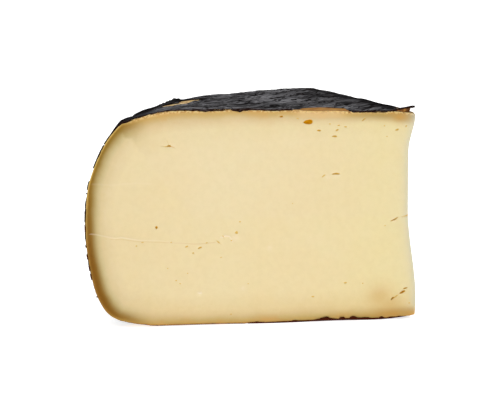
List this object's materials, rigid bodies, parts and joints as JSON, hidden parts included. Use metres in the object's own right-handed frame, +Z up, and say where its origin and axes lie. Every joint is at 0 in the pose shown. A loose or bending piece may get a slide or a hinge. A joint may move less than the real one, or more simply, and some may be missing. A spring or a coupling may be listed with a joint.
{
  "type": "wedge of semi-hard goat cheese",
  "caption": "Wedge of semi-hard goat cheese cut from a low wheel, with a pale smooth paste and a thin black coated rind.",
  "frame": {"origin": "middle of the bounding box, on the flat base the wedge stands on", "axes": "+Z up; the near cut face looks along -Y, with the wedge's nose at +X and its rim at -X"},
  "size_m": [0.13, 0.1216, 0.0856],
  "materials": {
    "paste": "smooth, slightly waxy cut cheese with a few small eyes and cracks, ochre towards the rind",
    "coating": "thin black coating, wrinkled with the rind, with a dull sheen",
    "rind": "dry tan to brown rind, bare where the coating has flaked or torn off"
  },
  "bodies": {
    "root": {"cheese": "paste"}
  },
  "joints": []
}
